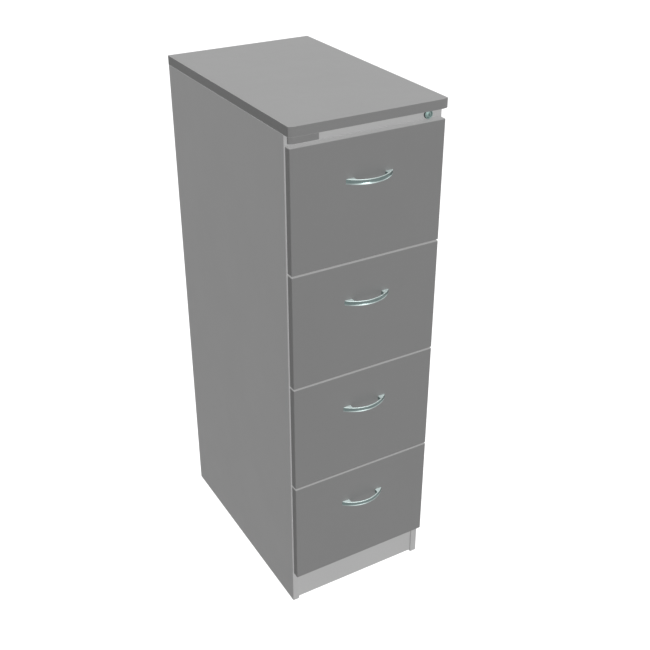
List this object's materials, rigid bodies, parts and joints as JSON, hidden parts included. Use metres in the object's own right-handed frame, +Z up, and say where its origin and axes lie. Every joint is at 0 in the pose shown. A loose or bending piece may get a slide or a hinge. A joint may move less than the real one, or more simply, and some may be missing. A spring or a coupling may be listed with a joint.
{
  "type": "metal filing cabinet",
  "caption": "Tall narrow sheet-steel filing cabinet with full-width drawers on telescopic slides, bow handles, a recessed plinth and a cylinder lock that works a bar on every drawer.",
  "frame": {"origin": "on the floor, under the middle of the box round the whole closed cabinet, handles included", "axes": "+Z up, -Y out of the drawer fronts, +X to the right of someone who faces the drawers"},
  "size_m": [0.4, 0.6618, 1.336],
  "materials": {
    "carcass_paint": "light grey powder coat, satin, on sheet steel",
    "front_paint": "mid grey powder coat, satin, on sheet steel",
    "chrome": "polished chrome plate with a cool tint",
    "zinc_plate": "bright zinc plate on cold-rolled steel",
    "badge_metal": "blank anodised plate, dark grey",
    "foot_plastic": "black moulded nylon"
  },
  "bodies": {
    "root": {"side_panel_left": "carcass_paint", "side_panel_right": "carcass_paint", "side_liner_left": "carcass_paint", "side_liner_right": "carcass_paint", "top_panel": "front_paint", "top_liner": "front_paint", "back_panel": "carcass_paint", "base_panel": "carcass_paint", "plinth_panel": "carcass_paint", "front_rail": "carcass_paint", "divider_rail_1": "carcass_paint", "divider_rail_2": "carcass_paint", "divider_rail_3": "carcass_paint", "nameplate": "badge_metal", "foot_front_left": "foot_plastic", "foot_front_right": "foot_plastic", "foot_rear_left": "foot_plastic", "foot_rear_right": "foot_plastic", "lock_housing": "chrome", "lock_nut": "zinc_plate", "drawer_1_cabinet_slide_left": "zinc_plate", "drawer_1_cabinet_slide_right": "zinc_plate", "drawer_2_cabinet_slide_left": "zinc_plate", "drawer_2_cabinet_slide_right": "zinc_plate", "drawer_3_cabinet_slide_left": "zinc_plate", "drawer_3_cabinet_slide_right": "zinc_plate", "drawer_4_cabinet_slide_left": "zinc_plate", "drawer_4_cabinet_slide_right": "zinc_plate"},
    "lock_barrel": {"lock_barrel": "chrome", "lock_cam": "zinc_plate"},
    "lock_bar": {"lock_bar": "zinc_plate"},
    "drawer_1": {"drawer_1_front": "front_paint", "drawer_1_tray": "carcass_paint", "drawer_1_handle": "chrome", "drawer_1_drawer_slide_left": "zinc_plate", "drawer_1_drawer_slide_right": "zinc_plate"},
    "drawer_1_middle": {"drawer_1_middle_slide_left": "zinc_plate", "drawer_1_middle_slide_right": "zinc_plate"},
    "drawer_2": {"drawer_2_front": "front_paint", "drawer_2_tray": "carcass_paint", "drawer_2_handle": "chrome", "drawer_2_drawer_slide_left": "zinc_plate", "drawer_2_drawer_slide_right": "zinc_plate"},
    "drawer_2_middle": {"drawer_2_middle_slide_left": "zinc_plate", "drawer_2_middle_slide_right": "zinc_plate"},
    "drawer_3": {"drawer_3_front": "front_paint", "drawer_3_tray": "carcass_paint", "drawer_3_handle": "chrome", "drawer_3_drawer_slide_left": "zinc_plate", "drawer_3_drawer_slide_right": "zinc_plate"},
    "drawer_3_middle": {"drawer_3_middle_slide_left": "zinc_plate", "drawer_3_middle_slide_right": "zinc_plate"},
    "drawer_4": {"drawer_4_front": "front_paint", "drawer_4_tray": "carcass_paint", "drawer_4_handle": "chrome", "drawer_4_drawer_slide_left": "zinc_plate", "drawer_4_drawer_slide_right": "zinc_plate"},
    "drawer_4_middle": {"drawer_4_middle_slide_left": "zinc_plate", "drawer_4_middle_slide_right": "zinc_plate"}
  },
  "joints": [
    {"name": "drawer_1_slide", "type": "slide", "parent": "root", "child": "drawer_1", "axis": [0, -1, 0], "range_m": [0, 0.54]},
    {"name": "drawer_1_middle_slide", "type": "slide", "parent": "root", "child": "drawer_1_middle", "axis": [0, -1, 0], "range_m": [0, 0.27]},
    {"name": "drawer_2_slide", "type": "slide", "parent": "root", "child": "drawer_2", "axis": [0, -1, 0], "range_m": [0, 0.54]},
    {"name": "drawer_2_middle_slide", "type": "slide", "parent": "root", "child": "drawer_2_middle", "axis": [0, -1, 0], "range_m": [0, 0.27]},
    {"name": "drawer_3_slide", "type": "slide", "parent": "root", "child": "drawer_3", "axis": [0, -1, 0], "range_m": [0, 0.54]},
    {"name": "drawer_3_middle_slide", "type": "slide", "parent": "root", "child": "drawer_3_middle", "axis": [0, -1, 0], "range_m": [0, 0.27]},
    {"name": "drawer_4_slide", "type": "slide", "parent": "root", "child": "drawer_4", "axis": [0, -1, 0], "range_m": [0, 0.54]},
    {"name": "drawer_4_middle_slide", "type": "slide", "parent": "root", "child": "drawer_4_middle", "axis": [0, -1, 0], "range_m": [0, 0.27]},
    {"name": "lock_turn", "type": "hinge", "parent": "root", "child": "lock_barrel", "pos_m": [0.161, -0.28605, 1.2995], "axis": [0, -1, 0], "range_deg": [0, 90]},
    {"name": "lock_bar_lift", "type": "slide", "parent": "root", "child": "lock_bar", "axis": [0, 0, 1], "range_m": [0, 0.0099]}
  ],
  "couplings": [
    {"joint": "drawer_1_middle_slide", "follows": "drawer_1_slide", "ratio": 0.5},
    {"joint": "drawer_2_middle_slide", "follows": "drawer_2_slide", "ratio": 0.5},
    {"joint": "drawer_3_middle_slide", "follows": "drawer_3_slide", "ratio": 0.5},
    {"joint": "drawer_4_middle_slide", "follows": "drawer_4_slide", "ratio": 0.5},
    {"joint": "lock_turn", "follows": "lock_bar_lift", "rad_per_m": 158.67}
  ]
}
